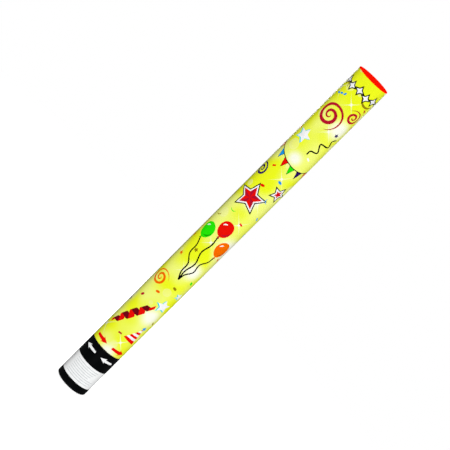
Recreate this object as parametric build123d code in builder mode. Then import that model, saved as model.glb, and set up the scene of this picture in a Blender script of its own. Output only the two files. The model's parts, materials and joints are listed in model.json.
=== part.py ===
from build123d import *

import os
from math import cos, pi, radians, sin, sqrt

# Twist-to-fire confetti popper, standing on its base, axis along +Z, origin under the base.
# A printed card barrel turns on a black grip that holds a charged air cylinder. Turning the
# barrel cams a plug out of the cylinder's mouth, and the air drives the wads and the confetti
# up the barrel and out past the red cap. Every size is in millimetres.

# Whole popper
POPPER_LENGTH = 600.0  # floor to the outer face of the muzzle cap
GRIP_HEIGHT = 75.0  # floor to the joint line between grip and barrel
JOINT_GAP = 0.4  # open line between the two card tubes

# Air passage, from the plug's seat outwards
SEAT_R = 8.0
NECK_STEP = 2.5  # neck bore past the seat
NECK_WALL = 3.5
BOSS_LEDGE = 3.5  # head in the cylinder's mouth past the neck
LIP_WIDTH = 3.2  # in-turned lip of the cylinder
CYLINDER_WALL = 0.8
BUSH_WALL = 1.9
TUBE_WALL = 1.9
WRAP_THICKNESS = 0.15

# Printed wraps
WRAP_LAP = 8.0  # width of the glued overlap at the back

# Base cap
BASE_PLATE = 3.0
BASE_EDGE_R = 2.0
BASE_SPIGOT = 11.0  # height of the ring round the cylinder's foot
FOOT_RING = 6.0  # width of the ring that stands on the floor
FOOT_RECESS = 0.8

# Air cylinder, drawn from aluminium
CYLINDER_LENGTH = 144.0
CYLINDER_HEEL_R = 3.0  # outside radius of its foot
CYLINDER_DOME = 6.0  # rise of its hollow bottom above the foot

# Rubber fill bung in the middle of the dome
BUNG_R = 3.0
BUNG_LIP = 1.6  # reach of each lip past the hole
BUNG_LIP_THICKNESS = 1.5

# Swivel bush, glued in the grip and running in the barrel
BUSH_DEPTH = 30.0
BUSH_REACH = 40.0
RUNNING_CLEARANCE = 0.1

# Valve head, clamped under the cylinder's lip
HEAD_FLANGE = 6.0
GASKET_THICKNESS = 1.5
SEAT_RISE = 3.0  # end of the seat above the cylinder's mouth
NECK_END = 8.0  # neck above its retaining ring

# Release plug, its seal and its cross pin
TWIST = 90.0  # degrees from locked to fired
PLUG_TRAVEL = 9.0  # lift over the whole twist
PLUG_CLEARANCE = 0.2
PLUG_NOSE = 3.0  # plug below the seal's middle
PLUG_SHOULDER = 3.0  # plug above the seal's middle
PLUG_NOSE_CHAMFER = 0.8
PLUG_STEM_R = 5.0
WING_WIDTH = 6.0
WING_GAP = 3.0  # seat's end to the underside of the wings
WING_HALF_HEIGHT = 6.0  # above and below the cross pin
SEAL_DEPTH = 5.0  # seal's middle below the seat's end
SEAL_WIRE_R = 1.2
SEAL_CLEARANCE = 0.05
PIN_R = 1.5
PIN_CLEARANCE = 0.15
PIN_SHORTFALL = 0.4  # pin's end inside the collar's sleeve

# Spring over the plug
SPRING_R = 4.4  # middle of the wire
SPRING_WIRE_R = 0.5
SPRING_TURNS = 6
SPRING_POCKET = 3.0  # depth of the pocket in the plug
SPRING_SIDE_GAP = 0.4
SPRING_END_GAP = 0.02
POCKET_WALL = 1.5

# Cage that holds the spring in the neck
CAGE_DEPTH = 4.0
CAGE_RIM = 1.5  # thickness of the rim on top of the neck
CAGE_RIM_INSET = 1.0
CAGE_RING = 1.6
CAGE_HUB_MARGIN = 1.1  # hub past the spring
CAGE_SPOKES = 3
CAGE_SPOKE_WIDTH = 2.4

# Release collar, glued in the barrel and turning round the neck
SLEEVE_WALL = 3.1
COLLAR_WEB = 4.0
COLLAR_WEB_MARGIN = 3.0  # plain sleeve between the cam slots and the web
COLLAR_RIM_WALL = 2.0
COLLAR_RIM_ROOM = 3.0  # rim's top above the cage
THRUST_GAP = 0.3

# Split ring that keeps the collar on the neck
RING_THICKNESS = 1.0
RING_BITE = 1.2  # depth of its groove in the neck
RING_STAND = 1.5  # ring outside the neck
RING_SLACK = 0.1
RING_OPENING = 5.0

# Wads
WAD_CLEARANCE = 0.3
CARD_WAD = 2.0
FOAM_WAD = 10.0

# Confetti: bundles of foil slips laid flat, each turned from the one below
SLIP_WIDTH = 20.0
BUNDLE_THICKNESS = 3.0
BUNDLE_PAIRS = 30  # one gold and one silver bundle each
BUNDLE_TURN = 137.5  # degrees between neighbours

# Muzzle cap
MUZZLE_PLATE = 1.2
MUZZLE_EDGE_R = 0.4
MUZZLE_SPIGOT = 9.0
MUZZLE_SPIGOT_WALL = 1.4
MUZZLE_CLEARANCE = 0.15

# Radii that follow
NECK_BORE_R = SEAT_R + NECK_STEP
NECK_R = NECK_BORE_R + NECK_WALL
MOUTH_R = NECK_R + BOSS_LEDGE
CYLINDER_BORE_R = MOUTH_R + LIP_WIDTH
CYLINDER_R = CYLINDER_BORE_R + CYLINDER_WALL
TUBE_BORE_R = CYLINDER_R + BUSH_WALL
TUBE_R = TUBE_BORE_R + TUBE_WALL
WRAP_R = TUBE_R + WRAP_THICKNESS
LAP_R = WRAP_R + WRAP_THICKNESS
PLUG_R = SEAT_R - PLUG_CLEARANCE
WING_R = NECK_BORE_R - PLUG_CLEARANCE
SEAL_R = SEAT_R - SEAL_CLEARANCE - SEAL_WIRE_R
SPRING_OUTER_R = SPRING_R + SPRING_WIRE_R
POCKET_R = SPRING_OUTER_R + SPRING_SIDE_GAP
SLEEVE_BORE_R = NECK_R + RUNNING_CLEARANCE
SLEEVE_R = SLEEVE_BORE_R + SLEEVE_WALL
SLOT_HALF = PIN_R + PIN_CLEARANCE
CHARGE_R = TUBE_BORE_R - WAD_CLEARANCE
SLIP_LENGTH = sqrt((2 * CHARGE_R) ** 2 - SLIP_WIDTH**2)

# Heights that follow
DOME_Z = BASE_PLATE + CYLINDER_DOME
MOUTH_Z = BASE_PLATE + CYLINDER_LENGTH
LIP_Z = MOUTH_Z - CYLINDER_WALL
FLANGE_TOP_Z = LIP_Z - GASKET_THICKNESS
HEAD_Z = FLANGE_TOP_Z - HEAD_FLANGE
SEAT_END_Z = MOUTH_Z + SEAT_RISE
SEAL_Z = SEAT_END_Z - SEAL_DEPTH
WING_Z = SEAT_END_Z + WING_GAP
PIN_Z = WING_Z + WING_HALF_HEIGHT
WING_TOP_Z = PIN_Z + WING_HALF_HEIGHT
POCKET_Z = WING_TOP_Z - SPRING_POCKET
WEB_Z = PIN_Z + PLUG_TRAVEL + SLOT_HALF + COLLAR_WEB_MARGIN
WEB_TOP_Z = WEB_Z + COLLAR_WEB
RING_Z = WEB_TOP_Z + THRUST_GAP
NECK_TOP_Z = RING_Z + RING_THICKNESS + RING_SLACK + NECK_END
CAGE_Z = NECK_TOP_Z - CAGE_DEPTH
CAGE_TOP_Z = NECK_TOP_Z + CAGE_RIM
COLLAR_TOP_Z = CAGE_TOP_Z + COLLAR_RIM_ROOM
FOAM_Z = COLLAR_TOP_Z + CARD_WAD
CONFETTI_Z = FOAM_Z + FOAM_WAD
BARREL_Z = GRIP_HEIGHT + JOINT_GAP
MUZZLE_Z = POPPER_LENGTH - MUZZLE_PLATE


def turned(*outline):
    """A solid turned about the popper's axis from a closed outline of (radius, height) points."""
    with BuildPart() as piece:
        with BuildSketch(Plane.XZ):
            with BuildLine():
                Polyline(*outline, close=True)
            make_face()
        revolve(axis=Axis.Z)
    return piece.part


def tube(low, high, inner, outer):
    """A plain round tube between two heights."""
    return turned((inner, low), (outer, low), (outer, high), (inner, high))


def rolled_wrap(low, high):
    """Printed paper rolled once round a card tube, its end lapped over its start at the back."""
    with BuildPart() as piece:
        with BuildSketch(Plane.XY.offset(low)):
            Circle(WRAP_R)
            with Locations((0, WRAP_R)):
                Rectangle(WRAP_LAP, WRAP_LAP)
            Circle(LAP_R, mode=Mode.INTERSECT)
            Circle(TUBE_R, mode=Mode.SUBTRACT)
        extrude(amount=high - low)
    return piece.part


def slip_bundles(first):
    """Every other bundle of the confetti column, from the first or the second one up."""
    with BuildPart() as piece:
        for layer in range(first, 2 * BUNDLE_PAIRS, 2):
            with BuildSketch(Plane.XY.offset(CONFETTI_Z + layer * BUNDLE_THICKNESS)):
                Rectangle(SLIP_LENGTH, SLIP_WIDTH, rotation=layer * BUNDLE_TURN)
            extrude(amount=BUNDLE_THICKNESS)
    return piece.part


# Grip: card tube, printed wrap and moulded base cap
with BuildPart() as grip_tube:
    add(tube(BASE_PLATE, GRIP_HEIGHT, TUBE_BORE_R, TUBE_R))

with BuildPart() as grip_wrap:
    add(rolled_wrap(BASE_PLATE, GRIP_HEIGHT))

with BuildPart() as base_cap:
    with BuildSketch():
        Circle(WRAP_R)
    extrude(amount=BASE_PLATE)
    fillet(base_cap.edges().group_by(Axis.Z)[0], BASE_EDGE_R)
    add(tube(BASE_PLATE, BASE_PLATE + BASE_SPIGOT, CYLINDER_R, TUBE_BORE_R))
    with BuildSketch():
        Circle(WRAP_R - BASE_EDGE_R - FOOT_RING)
    extrude(amount=FOOT_RECESS, mode=Mode.SUBTRACT)

# Swivel bush, a step smaller where the barrel turns on it
with BuildPart() as swivel_bush:
    add(tube(GRIP_HEIGHT - BUSH_DEPTH, GRIP_HEIGHT, CYLINDER_R, TUBE_BORE_R))
    add(tube(GRIP_HEIGHT, GRIP_HEIGHT + BUSH_REACH, CYLINDER_R, TUBE_BORE_R - RUNNING_CLEARANCE))

# Air cylinder: in-turned lip, straight wall, round foot and hollow bottom with a hole for the
# bung. The foot's round and the bottom's sphere meet where the line of their middles crosses.
foot_r = CYLINDER_R - CYLINDER_HEEL_R
foot_z = BASE_PLATE + CYLINDER_HEEL_R
dome_rise = CYLINDER_HEEL_R - CYLINDER_DOME
dome_r = (dome_rise**2 + foot_r**2 - CYLINDER_HEEL_R**2) / (2 * CYLINDER_DOME)
dome_share = dome_r / (dome_r + CYLINDER_HEEL_R)
dome_middle_z = DOME_Z - dome_r
dome_edge = (foot_r * dome_share, dome_middle_z + (foot_z - dome_middle_z) * dome_share)

with BuildPart() as air_cylinder:
    with BuildSketch(Plane.XZ):
        with BuildLine():
            lip = Line((MOUTH_R, MOUTH_Z), (CYLINDER_R, MOUTH_Z))
            wall = Line(lip @ 1, (CYLINDER_R, foot_z))
            foot = TangentArc(wall @ 1, dome_edge, tangent=wall % 1)
            TangentArc(foot @ 1, (0, DOME_Z), tangent=foot % 1)
            offset(amount=CYLINDER_WALL, side=Side.RIGHT)
        make_face()
    revolve(axis=Axis.Z)
    with Locations((0, 0, DOME_Z + CYLINDER_WALL)):
        Hole(BUNG_R, depth=CYLINDER_DOME)

with BuildPart() as fill_bung:
    with BuildSketch(Plane.XY.offset(DOME_Z - BUNG_LIP_THICKNESS)):
        Circle(BUNG_R + BUNG_LIP)
    extrude(amount=CYLINDER_WALL + 2 * BUNG_LIP_THICKNESS)
    add(air_cylinder.part, mode=Mode.SUBTRACT)

# Valve head: flange inside the cylinder, boss in its mouth, and the neck that guides the plug
with BuildPart() as valve_head:
    add(
        turned(
            (SEAT_R, HEAD_Z),
            (CYLINDER_BORE_R, HEAD_Z),
            (CYLINDER_BORE_R, FLANGE_TOP_Z),
            (MOUTH_R, FLANGE_TOP_Z),
            (MOUTH_R, MOUTH_Z),
            (NECK_R, MOUTH_Z),
            (NECK_R, NECK_TOP_Z),
            (NECK_BORE_R, NECK_TOP_Z),
            (NECK_BORE_R, SEAT_END_Z),
            (SEAT_R, SEAT_END_Z),
        )
    )
    ring_groove = tube(RING_Z, RING_Z + RING_THICKNESS + RING_SLACK, NECK_R - RING_BITE, NECK_R)
    add(ring_groove, mode=Mode.SUBTRACT)
    with BuildSketch(Plane.YZ):
        with Locations((0, PIN_Z + PLUG_TRAVEL / 2)):
            SlotCenterToCenter(PLUG_TRAVEL, 2 * SLOT_HALF, rotation=90)
    extrude(amount=NECK_R, both=True, mode=Mode.SUBTRACT)

with BuildPart() as head_gasket:
    add(tube(FLANGE_TOP_Z, LIP_Z, MOUTH_R, CYLINDER_BORE_R))

# Release plug: sealed land in the seat, stem, and a winged hub with the spring's pocket on top
with BuildPart() as release_plug:
    with BuildSketch(Plane.XY.offset(SEAL_Z - PLUG_NOSE)):
        Circle(PLUG_R)
    extrude(amount=PLUG_NOSE + PLUG_SHOULDER)
    chamfer(release_plug.edges().group_by(Axis.Z)[0], PLUG_NOSE_CHAMFER)
    seal_groove = tube(SEAL_Z - SEAL_WIRE_R, SEAL_Z + SEAL_WIRE_R, SEAL_R - SEAL_WIRE_R, PLUG_R)
    add(seal_groove, mode=Mode.SUBTRACT)
    with BuildSketch(Plane.XY.offset(SEAL_Z + PLUG_SHOULDER)):
        Circle(PLUG_STEM_R)
    extrude(amount=WING_Z - SEAL_Z - PLUG_SHOULDER)
    with BuildSketch(Plane.XY.offset(WING_Z)):
        Circle(POCKET_R + POCKET_WALL)
        Rectangle(2 * WING_R, WING_WIDTH)
        Rectangle(WING_WIDTH, 2 * WING_R)
        Circle(WING_R, mode=Mode.INTERSECT)
    extrude(amount=WING_TOP_Z - WING_Z)
    with BuildSketch(Plane.XY.offset(WING_TOP_Z)):
        Circle(POCKET_R)
    extrude(amount=-SPRING_POCKET, mode=Mode.SUBTRACT)
    with BuildSketch(Plane.YZ):
        with Locations((0, PIN_Z)):
            Circle(PIN_R)
    extrude(amount=WING_R, both=True, mode=Mode.SUBTRACT)

with BuildPart() as plug_o_ring:
    with BuildSketch(Plane.XZ):
        with Locations((SEAL_R, SEAL_Z)):
            Circle(SEAL_WIRE_R)
    revolve(axis=Axis.Z)

with BuildPart() as cross_pin:
    with BuildSketch(Plane.YZ):
        with Locations((0, PIN_Z)):
            Circle(PIN_R)
    extrude(amount=SLEEVE_R - PIN_SHORTFALL, both=True)

# Plug spring: one wire, its middle line two tangent arcs to each quarter turn
spring_low = POCKET_Z + SPRING_WIRE_R + SPRING_END_GAP
spring_high = CAGE_Z - SPRING_WIRE_R - SPRING_END_GAP
spring_lead = (spring_high - spring_low) / (2 * pi * SPRING_TURNS)


def coil_station(quarter):
    """The coil's middle line after a number of quarter turns: its point and its direction."""
    angle = quarter * pi / 2
    point = Vector(SPRING_R * cos(angle), SPRING_R * sin(angle), spring_low + spring_lead * angle)
    heading = Vector(-SPRING_R * sin(angle), SPRING_R * cos(angle), spring_lead).normalized()
    return point, heading


with BuildPart() as plug_spring:
    with BuildLine() as coil:
        for quarter in range(4 * SPRING_TURNS):
            start, leaving = coil_station(quarter)
            end, arriving = coil_station(quarter + 1)
            chord = end - start
            lead = chord.dot(leaving + arriving)
            spread = 2 * (1 - leaving.dot(arriving))
            reach = (sqrt(lead**2 + spread * chord.dot(chord)) - lead) / spread
            meeting = (start + end) * 0.5 + (leaving - arriving) * (reach / 2)
            TangentArc(start, meeting, tangent=leaving)
            TangentArc(meeting, end, tangent=chord - (leaving + arriving) * reach)
    with BuildSketch(Plane(coil.wire() @ 0, z_dir=coil.wire() % 0)):
        Circle(SPRING_WIRE_R)
    sweep()

# Least gap between the spring's turns, on points half a turn apart or more
STATIONS_PER_TURN = 24
stations = [
    coil.wire() @ (step / (SPRING_TURNS * STATIONS_PER_TURN))
    for step in range(SPRING_TURNS * STATIONS_PER_TURN + 1)
]
turn_gap = min(
    (far - near).length - 2 * SPRING_WIRE_R
    for step, near in enumerate(stations)
    for far in stations[step + STATIONS_PER_TURN // 2 :]
)
print(f"plug_spring: least gap between turns {turn_gap:.2f} mm")

# Valve cage: ring in the neck, rim on its top, and a hub on spokes over the spring
with BuildPart() as valve_cage:
    add(tube(CAGE_Z, NECK_TOP_Z, NECK_BORE_R - CAGE_RING, NECK_BORE_R))
    add(tube(NECK_TOP_Z, CAGE_TOP_Z, NECK_BORE_R - CAGE_RING, NECK_R - CAGE_RIM_INSET))
    with BuildSketch(Plane.XY.offset(CAGE_Z)):
        Circle(SPRING_OUTER_R + CAGE_HUB_MARGIN)
        with PolarLocations(0, CAGE_SPOKES):
            Rectangle(NECK_BORE_R, CAGE_SPOKE_WIDTH, align=(Align.MIN, Align.CENTER))
        Circle(NECK_BORE_R - CAGE_RING / 2, mode=Mode.INTERSECT)
    extrude(amount=CAGE_DEPTH + CAGE_RIM)

# Split ring in the neck's groove, over the collar
with BuildPart() as retaining_ring:
    add(tube(RING_Z, RING_Z + RING_THICKNESS, NECK_R - RING_BITE, NECK_R + RING_STAND))
    with BuildSketch(Plane.XY.offset(RING_Z)):
        Rectangle(RING_OPENING, 2 * NECK_R, align=(Align.CENTER, Align.MIN))
    extrude(amount=RING_THICKNESS, mode=Mode.SUBTRACT)

# Cam slot for one end of the cross pin: it climbs as the collar turns past the pin
slot_r = (SLEEVE_BORE_R + SLEEVE_R) / 2

with BuildPart() as cam_slot:
    with BuildLine() as cam_line:
        Helix(PLUG_TRAVEL * 360 / TWIST, PLUG_TRAVEL, slot_r, (0, 0, PIN_Z), lefthand=True)
    cam_start = Plane(cam_line.wire() @ 0, x_dir=(1, 0, 0), z_dir=cam_line.wire() % 0)
    with BuildSketch(cam_start):
        Rectangle(2 * SLEEVE_WALL, 2 * SLOT_HALF)
    sweep(is_frenet=True)
    for turn, lift in ((0, 0), (-TWIST, PLUG_TRAVEL)):
        outward = (cos(radians(turn)), sin(radians(turn)), 0)
        with BuildSketch(Plane((0, 0, PIN_Z + lift), z_dir=outward).offset(slot_r)):
            Circle(SLOT_HALF)
        extrude(amount=SLEEVE_WALL, both=True)

# Release collar: cam sleeve round the neck, and a web out to the rim that is glued in the barrel
with BuildPart() as release_collar:
    add(
        turned(
            (SLEEVE_BORE_R, MOUTH_Z + THRUST_GAP),
            (SLEEVE_R, MOUTH_Z + THRUST_GAP),
            (SLEEVE_R, WEB_Z),
            (TUBE_BORE_R, WEB_Z),
            (TUBE_BORE_R, COLLAR_TOP_Z),
            (TUBE_BORE_R - COLLAR_RIM_WALL, COLLAR_TOP_Z),
            (TUBE_BORE_R - COLLAR_RIM_WALL, WEB_TOP_Z),
            (SLEEVE_BORE_R, WEB_TOP_Z),
        )
    )
    with PolarLocations(0, 2):
        add(cam_slot.part, mode=Mode.SUBTRACT)

# Barrel: card tube and printed wrap
with BuildPart() as barrel_tube:
    add(tube(BARREL_Z, MUZZLE_Z, TUBE_BORE_R, TUBE_R))

with BuildPart() as barrel_wrap:
    add(rolled_wrap(BARREL_Z, MUZZLE_Z))

# Charge: card wad, foam wad and the column of confetti
with BuildPart() as wad_card:
    with BuildSketch(Plane.XY.offset(COLLAR_TOP_Z)):
        Circle(CHARGE_R)
    extrude(amount=CARD_WAD)

with BuildPart() as wad_foam:
    with BuildSketch(Plane.XY.offset(FOAM_Z)):
        Circle(CHARGE_R)
    extrude(amount=FOAM_WAD)

with BuildPart() as confetti_gold:
    add(slip_bundles(0))

with BuildPart() as confetti_silver:
    add(slip_bundles(1))

# Muzzle cap: red disc over the barrel's end, with a spigot pushed into the bore
with BuildPart() as muzzle_cap:
    with BuildSketch(Plane.XY.offset(MUZZLE_Z)):
        Circle(WRAP_R)
    extrude(amount=MUZZLE_PLATE)
    fillet(muzzle_cap.edges().group_by(Axis.Z)[-1], MUZZLE_EDGE_R)
    spigot_r = TUBE_BORE_R - MUZZLE_CLEARANCE
    add(tube(MUZZLE_Z - MUZZLE_SPIGOT, MUZZLE_Z, spigot_r - MUZZLE_SPIGOT_WALL, spigot_r))

pieces = {
    "grip_tube": grip_tube,
    "grip_wrap": grip_wrap,
    "base_cap": base_cap,
    "swivel_bush": swivel_bush,
    "air_cylinder": air_cylinder,
    "fill_bung": fill_bung,
    "valve_head": valve_head,
    "head_gasket": head_gasket,
    "release_plug": release_plug,
    "plug_o_ring": plug_o_ring,
    "cross_pin": cross_pin,
    "plug_spring": plug_spring,
    "valve_cage": valve_cage,
    "retaining_ring": retaining_ring,
    "release_collar": release_collar,
    "barrel_tube": barrel_tube,
    "barrel_wrap": barrel_wrap,
    "wad_card": wad_card,
    "wad_foam": wad_foam,
    "confetti_gold": confetti_gold,
    "confetti_silver": confetti_silver,
    "muzzle_cap": muzzle_cap,
}

os.makedirs("parts", exist_ok=True)
for name, piece in pieces.items():
    piece.part.label = name
    export_step(piece.part, f"parts/{name}.step")
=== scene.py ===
"""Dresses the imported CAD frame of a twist-to-fire confetti popper.

The frame holds every rigid piece at its real size. This script rolls the two printed papers onto
the card tubes, fans out the foil slips, winds the spring, gives every piece its finish and sets up
a plain white studio. Sizes are in millimetres, and meshes are written in metres.
"""

import json
import logging
from dataclasses import dataclass, field
from enum import Enum
from math import cos, pi, radians, sin, tau
from random import Random
from typing import Callable, ClassVar, Iterable, Optional, Union

import bpy
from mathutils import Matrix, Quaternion, Vector
from mathutils.geometry import delaunay_2d_cdt


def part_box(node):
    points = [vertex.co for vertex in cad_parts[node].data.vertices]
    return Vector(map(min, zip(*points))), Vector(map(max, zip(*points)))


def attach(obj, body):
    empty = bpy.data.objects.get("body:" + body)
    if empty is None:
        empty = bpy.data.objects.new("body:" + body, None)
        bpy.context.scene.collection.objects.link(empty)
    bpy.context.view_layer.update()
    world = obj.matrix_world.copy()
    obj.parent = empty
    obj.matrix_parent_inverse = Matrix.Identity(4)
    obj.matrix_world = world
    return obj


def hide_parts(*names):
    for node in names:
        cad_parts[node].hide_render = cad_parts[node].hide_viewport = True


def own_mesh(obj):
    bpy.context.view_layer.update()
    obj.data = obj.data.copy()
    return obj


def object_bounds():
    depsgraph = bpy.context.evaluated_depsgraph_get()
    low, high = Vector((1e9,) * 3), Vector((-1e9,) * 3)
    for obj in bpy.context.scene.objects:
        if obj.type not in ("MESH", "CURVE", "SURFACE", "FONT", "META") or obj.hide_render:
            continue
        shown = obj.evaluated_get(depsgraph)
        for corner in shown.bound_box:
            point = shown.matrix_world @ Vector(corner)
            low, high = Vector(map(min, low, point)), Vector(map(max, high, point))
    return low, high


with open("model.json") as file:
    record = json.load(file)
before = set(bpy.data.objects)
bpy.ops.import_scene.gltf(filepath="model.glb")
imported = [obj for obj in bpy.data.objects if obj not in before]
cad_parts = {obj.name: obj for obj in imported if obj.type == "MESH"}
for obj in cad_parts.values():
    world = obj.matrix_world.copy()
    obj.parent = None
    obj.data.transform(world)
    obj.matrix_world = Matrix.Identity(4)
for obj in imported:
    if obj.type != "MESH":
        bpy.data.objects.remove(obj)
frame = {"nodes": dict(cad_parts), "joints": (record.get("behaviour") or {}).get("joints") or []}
CAD_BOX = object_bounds()
MM = 0.001
SHEET_MAP = "Sheet"  # places on the flat paper, in metres
BAKE_MAP = "OFBake"  # the same paper folded into a square
GOLDEN = 0.618034  # share of a turn or a width that spreads repeats evenly
DIAGONAL = 1.414  # of a square whose sides are 1
PLY_RISE = 68.0  # rise of one turn of the card tubes' outer ply
log = logging.getLogger("popper")

Colour = tuple[float, float, float, float]
Face = tuple[int, ...]


def rgb(code: str, shade: float = 1.0) -> Colour:
    """A six-digit sRGB code as a linear colour.

    Args:
        code: the colour's code.
        shade: how light the colour is made, where 1 leaves it alone.

    Returns:
        The colour, with full alpha.
    """
    channels = [int(code[place : place + 2], 16) / 255 for place in (0, 2, 4)]
    red, green, blue = (
        shade * (level / 12.92 if level <= 0.04045 else ((level + 0.055) / 1.055) ** 2.4)
        for level in channels
    )
    return red, green, blue, 1.0


def polar(reach: float, bearing: float) -> Vector:
    """A flat vector of this length, at this angle in degrees."""
    return Vector((reach * cos(radians(bearing)), reach * sin(radians(bearing))))


def arc(middle: Vector, radius: float, start: float, sweep: float, steps: int) -> list[Vector]:
    """Points along an arc, with its bearings in degrees."""
    return [middle + polar(radius, start + sweep * step / steps) for step in range(steps + 1)]


def tapered(thin: float, swell: float) -> Callable[[float], float]:
    """A stroke's width, thin at both ends and swelling to its middle."""
    return lambda share: thin + swell * sin(pi * share)


class Wire:
    """An output socket of a shader graph, on which arithmetic adds Math nodes."""

    def __init__(self, graph: "Graph", socket: Optional[bpy.types.NodeSocket]) -> None:
        """Wraps one socket of a graph."""
        self.graph = graph
        self.socket = socket

    def other(self, name: str) -> "Wire":
        """Another output of the same node."""
        return Wire(self.graph, self.socket.node.outputs[name])

    def math(self, operation: str, *values: "Number") -> "Wire":
        """Adds a Math node, whose inputs in order are wires or numbers."""
        return self.graph.node("Math", {"operation": operation}, dict(enumerate(values)))

    def __add__(self, other: "Number") -> "Wire":
        """Sum."""
        return self.math("ADD", self, other)

    __radd__ = __add__

    def __sub__(self, other: "Number") -> "Wire":
        """Difference."""
        return self.math("SUBTRACT", self, other)

    def __rsub__(self, other: "Number") -> "Wire":
        """Difference from a number."""
        return self.math("SUBTRACT", other, self)

    def __mul__(self, other: "Number") -> "Wire":
        """Product."""
        return self.math("MULTIPLY", self, other)

    __rmul__ = __mul__

    def __truediv__(self, other: "Number") -> "Wire":
        """Quotient."""
        return self.math("DIVIDE", self, other)

    def __pow__(self, other: "Number") -> "Wire":
        """Power."""
        return self.math("POWER", self, other)

    def __gt__(self, other: "Number") -> "Wire":
        """1 where this is greater, and 0 elsewhere."""
        return self.math("GREATER_THAN", self, other)

    def __abs__(self) -> "Wire":
        """Size without sign."""
        return self.math("ABSOLUTE", self)

    def fract(self) -> "Wire":
        """What is left over past a whole number."""
        return self.math("FRACT", self)

    def wave(self) -> "Wire":
        """Sine of a number of turns."""
        return self.math("SINE", self * tau)

    def floor_at(self, least: float) -> "Wire":
        """This, or the least value where it is lower."""
        return self.math("MAXIMUM", self, least)

    def rise(self, start: "Number", end: "Number") -> "Wire":
        """A smooth step from 0 at the start to 1 at the end."""
        span = {"Value": self, "From Min": start, "From Max": end}
        return self.graph.node("MapRange", {"interpolation_type": "SMOOTHSTEP"}, span)


Number = Union[Wire, float]
Paint = Union[Wire, Colour]


class Space(Enum):
    """Whether scattered cells fill a solid or lie on a sheet."""

    SOLID = "3D"
    SHEET = "2D"


class Graph:
    """The node tree of one material, or of the world."""

    def __init__(self, owner: Union[bpy.types.Material, bpy.types.World]) -> None:
        """Empties a node tree.

        Args:
            owner: the material or the world that the tree belongs to.
        """
        owner.use_nodes = True
        self.tree = owner.node_tree
        self.tree.nodes.clear()

    def node(
        self,
        kind: str,
        settings: Optional[dict] = None,
        sockets: Optional[dict] = None,
        out: Union[int, str] = 0,
    ) -> Wire:
        """Adds a shader node.

        Args:
            kind: the node's type, without its prefix.
            settings: values of its own properties, which are set first.
            sockets: values or wires for its inputs, by name or number.
            out: the output to hand back.

        Returns:
            That output, or an empty wire from a node that has none.
        """
        made = self.tree.nodes.new(f"ShaderNode{kind}")
        for name, value in (settings or {}).items():
            setattr(made, name, value)
        for key, value in (sockets or {}).items():
            if isinstance(value, Wire):
                self.tree.links.new(value.socket, made.inputs[key])
            else:
                made.inputs[key].default_value = value
        return Wire(self, made.outputs[out] if made.outputs else None)

    def in_mm(self, place: Wire) -> Wire:
        """Places given in metres, in millimetres."""
        return self.node("VectorMath", {"operation": "SCALE"}, {0: place, "Scale": 1 / MM})

    def object_mm(self) -> Wire:
        """Places in the piece's own frame, in millimetres."""
        return self.in_mm(self.node("TexCoord", out="Object"))

    def sheet_mm(self) -> Wire:
        """Places on the flat paper, in millimetres."""
        return self.in_mm(self.node("UVMap", {"uv_map": SHEET_MAP}))

    def stretch(self, place: Wire, scale: tuple[float, float, float]) -> Wire:
        """Places scaled by a factor along each axis."""
        return self.node("VectorMath", {"operation": "MULTIPLY"}, {0: place, 1: scale})

    def split(self, place: Wire) -> tuple[Wire, Wire, Wire]:
        """The three numbers of a place."""
        first = self.node("SeparateXYZ", {}, {0: place})
        return first, first.other("Y"), first.other("Z")

    def around(self, place: Wire) -> tuple[Wire, Wire, Wire]:
        """A place about the popper's axis.

        Args:
            place: a place in millimetres.

        Returns:
            Its angle in turns, its radius and its height.
        """
        across, depth, height = self.split(place)
        turns = depth.math("ARCTAN2", depth, across) / tau
        return turns, (across**2 + depth**2) ** 0.5, height

    def off_spiral(self, turns: Wire, height: Wire) -> Wire:
        """How far round a place lies from a line that winds up the tube, from 0 to half a turn."""
        return abs((turns + height / PLY_RISE).fract() - 0.5)

    def noise(self, place: Wire, size: float, detail: float = 2.0) -> Wire:
        """Soft noise from 0 to 1, read in millimetres, by the width of its lumps and its finer layers."""
        return self.node("TexNoise", {}, {"Vector": place, "Scale": 1 / size, "Detail": detail})

    def cells(self, place: Wire, pitch: float, space: Space = Space.SOLID, stray: float = 1.0) -> Wire:
        """Scattered cells.

        Args:
            place: where they are read, in millimetres.
            pitch: how far apart they are.
            space: where they lie.
            stray: how far their middles stray from a grid, up to 1.

        Returns:
            The distance to the nearest cell's middle, in cell sizes.
        """
        sockets = {"Vector": place, "Scale": 1 / pitch, "Randomness": stray}
        return self.node("TexVoronoi", {"voronoi_dimensions": space.value}, sockets)

    def blend(self, amount: Number, under: Paint, over: Paint) -> Wire:
        """Lays one colour over another, by an amount from 0 to 1."""
        return self.node("Mix", {"data_type": "RGBA"}, {0: amount, 6: under, 7: over}, 2)

    def bump(self, height: Wire, depth: float, strength: float = 1.0) -> Wire:
        """A normal bent by a height from 0 to 1, which is this deep in millimetres."""
        return self.node("Bump", {}, {"Height": height, "Distance": depth * MM, "Strength": strength})

    def surface(self, colour: Paint, roughness: Number, sockets: dict) -> None:
        """Makes the material's surface from its colour, its roughness and the shader's other inputs."""
        inputs = {"Base Color": colour, "Roughness": roughness, **sockets}
        self.node("OutputMaterial", {}, {"Surface": self.node("BsdfPrincipled", {}, inputs)})


@dataclass(frozen=True)
class Finish:
    """One surface finish. Each kind lays out its own nodes."""

    made: ClassVar[dict["Finish", bpy.types.Material]] = {}
    name: str

    def material(self) -> bpy.types.Material:
        """Makes the finish's material.

        Returns:
            The material, the same one each time.
        """
        if self not in self.made:
            self.made[self] = bpy.data.materials.new(self.name)
            self.lay(Graph(self.made[self]))
        return self.made[self]

    def lay(self, graph: Graph) -> None:
        """Lays out the finish's nodes in a graph."""
        raise NotImplementedError


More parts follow.
